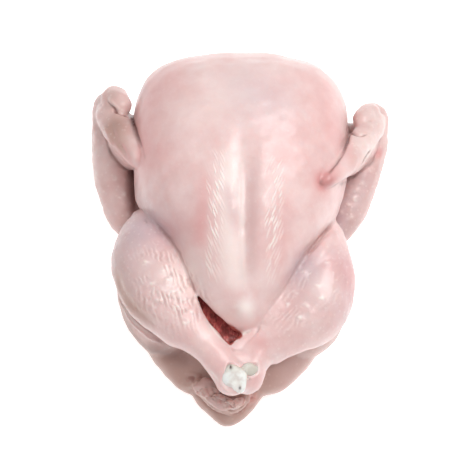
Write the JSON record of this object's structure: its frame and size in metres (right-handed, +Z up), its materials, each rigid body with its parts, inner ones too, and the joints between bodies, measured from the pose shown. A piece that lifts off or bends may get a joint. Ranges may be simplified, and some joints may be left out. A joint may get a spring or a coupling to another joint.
{
  "type": "whole raw turkey",
  "caption": "Whole raw turkey, plucked, drawn and trussed, lying on its back with folded wings, crossed drumsticks and an open body cavity.",
  "frame": {"origin": "middle of the bird's outline on the surface it lies on, at the bottom centre of its bounding box", "axes": "+Z up with the breast uppermost, +Y towards the neck, +X to the right seen from the tail"},
  "size_m": [0.3284, 0.393, 0.1836],
  "materials": {
    "raw_skin": "moist raw poultry skin, soft satin sheen, pale pink over the breast and redder at the wing tips, folds and thighs",
    "cartilage": "wet bluish white joint cartilage at the cut ankles",
    "cavity_flesh": "wet dark red lining of the emptied body cavity"
  },
  "bodies": {
    "root": {"turkey": "raw_skin"}
  },
  "joints": []
}
